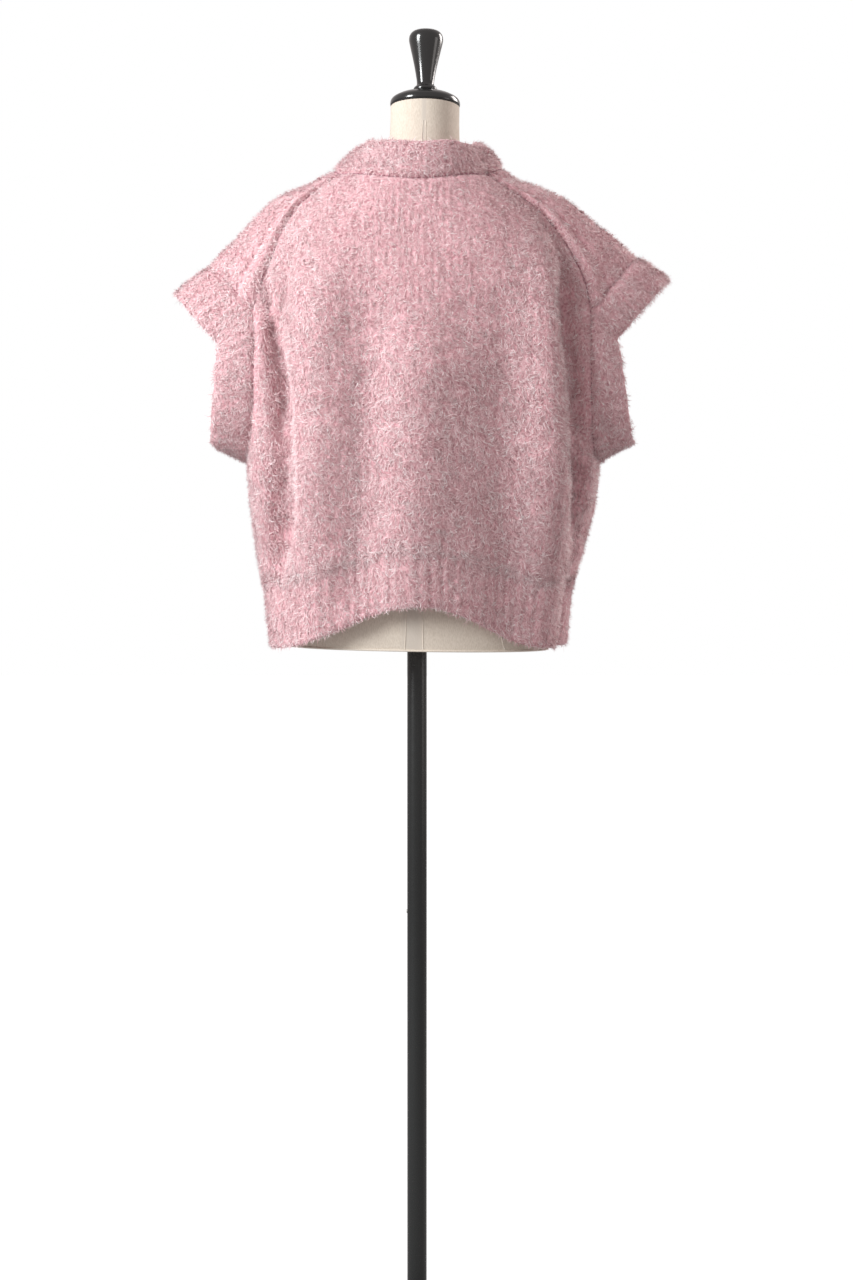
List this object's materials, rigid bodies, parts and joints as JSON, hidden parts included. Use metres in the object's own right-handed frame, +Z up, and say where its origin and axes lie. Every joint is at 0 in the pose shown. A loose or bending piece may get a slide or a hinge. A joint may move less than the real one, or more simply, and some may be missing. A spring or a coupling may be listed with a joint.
{
  "type": "sweater vest on dress form",
  "caption": "Boxy fluffy sweater vest with raglan shoulders and ribbed collar, armhole bands and hem, worn by a limbless dress form on a black pole and round base.",
  "frame": {"origin": "on the floor, under the middle of the round base", "axes": "+Z up; the vest's front faces -Y; the wearer's left is +X"},
  "size_m": [0.6753, 0.38, 1.8118],
  "materials": {
    "pink_knit": "fluffy pale pink knit",
    "pink_rib": "ribbed pale pink knit",
    "form_linen": "cream linen",
    "black_gloss": "glossy black paint",
    "black_satin": "satin black"
  },
  "bodies": {
    "root": {"back_panel": "pink_knit", "front_panel": "pink_knit", "hem_rib_back": "pink_rib", "hem_rib_front": "pink_rib", "shoulder_cap_left": "pink_knit", "shoulder_cap_right": "pink_knit", "armhole_band_left_back": "pink_rib", "armhole_band_left_front": "pink_rib", "armhole_band_right_back": "pink_rib", "armhole_band_right_front": "pink_rib", "collar": "pink_rib", "dress_form": "form_linen", "neck_cap": "black_gloss", "neck_knob": "black_gloss", "pole": "black_satin", "base_hub": "black_satin", "base_plate": "black_satin"}
  },
  "joints": []
}
